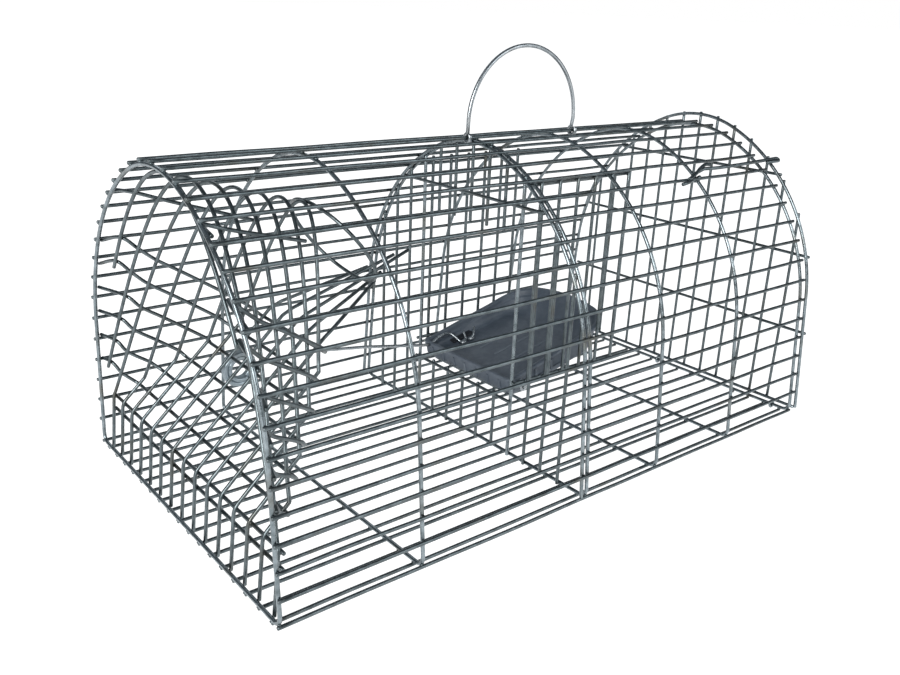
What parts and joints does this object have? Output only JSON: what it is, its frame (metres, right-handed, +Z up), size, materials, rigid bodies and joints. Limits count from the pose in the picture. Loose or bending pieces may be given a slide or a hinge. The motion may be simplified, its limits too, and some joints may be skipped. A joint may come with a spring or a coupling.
{
  "type": "live catch trap",
  "caption": "Half-round wire cage trap with a funnel entrance, a counterweighted tilting tray, a guarded doorway, a hinged rear door with a latch and a folding carry handle.",
  "frame": {"origin": "middle of the footprint, on the surface the trap stands on", "axes": "+X from the entrance to the rear door, +Y across to the side away from the latch, +Z up"},
  "size_m": [0.4132, 0.2256, 0.2413],
  "materials": {
    "mesh_wire": "dull zinc-coated wire",
    "hoop_wire": "dull zinc-coated wire",
    "handle_wire": "satin zinc-coated wire",
    "weight_steel": "dull zinc-coated wire coil",
    "tray_plastic": "slate grey moulded plastic"
  },
  "bodies": {
    "cage": {"roof_wires": "mesh_wire", "near_side_wires": "mesh_wire", "far_side_wires": "mesh_wire", "floor_line_wires": "mesh_wire", "hoop_1": "hoop_wire", "hoop_2": "hoop_wire", "hoop_3": "hoop_wire", "hoop_4": "hoop_wire", "hoop_5": "hoop_wire", "hoop_6": "hoop_wire", "funnel_arch_1": "mesh_wire", "funnel_arch_2": "mesh_wire", "funnel_arch_3": "mesh_wire", "funnel_arch_4": "mesh_wire", "funnel_arch_5": "mesh_wire", "funnel_arch_6": "mesh_wire", "funnel_arch_7": "mesh_wire", "funnel_middle_wire": "mesh_wire", "funnel_prongs": "mesh_wire", "funnel_ramp_wires": "mesh_wire", "funnel_side_wires": "mesh_wire", "throat_ring": "mesh_wire", "partition_rim": "hoop_wire", "partition_posts": "hoop_wire", "partition_uprights": "mesh_wire", "partition_bars": "mesh_wire", "near_guard_rails": "mesh_wire", "far_guard_rails": "mesh_wire", "near_guard_wires": "mesh_wire", "far_guard_wires": "mesh_wire", "pivot_eyes": "mesh_wire"},
    "treadle": {"treadle_tray": "tray_plastic", "treadle_pins": "mesh_wire", "treadle_arm": "mesh_wire", "counterweight": "weight_steel"},
    "rear_door": {"door_rim": "hoop_wire", "door_rail": "hoop_wire", "door_upright_wires": "mesh_wire", "door_cross_wires": "mesh_wire", "door_hinge_rings": "mesh_wire"},
    "latch": {"door_latch": "mesh_wire"},
    "handle": {"carry_handle": "handle_wire"}
  },
  "joints": [
    {"name": "treadle_tilt", "type": "hinge", "parent": "cage", "child": "treadle", "pos_m": [-0.00555, 0, 0.04704], "axis": [0, 1, 0], "range_deg": [0, 24]},
    {"name": "rear_door_hinge", "type": "hinge", "parent": "cage", "child": "rear_door", "pos_m": [0.19495, 0, 0.00304], "axis": [0, 1, 0], "range_deg": [0, 80]},
    {"name": "latch_lift", "type": "hinge", "parent": "cage", "child": "latch", "pos_m": [0.12215, -0.05751, 0.16439], "axis": [0, -0.784, -0.6208], "range_deg": [0, 60]},
    {"name": "handle_swing", "type": "hinge", "parent": "cage", "child": "handle", "pos_m": [0.02447, 0, 0.18908], "axis": [1, 0, 0], "range_deg": [-70, 70]}
  ]
}
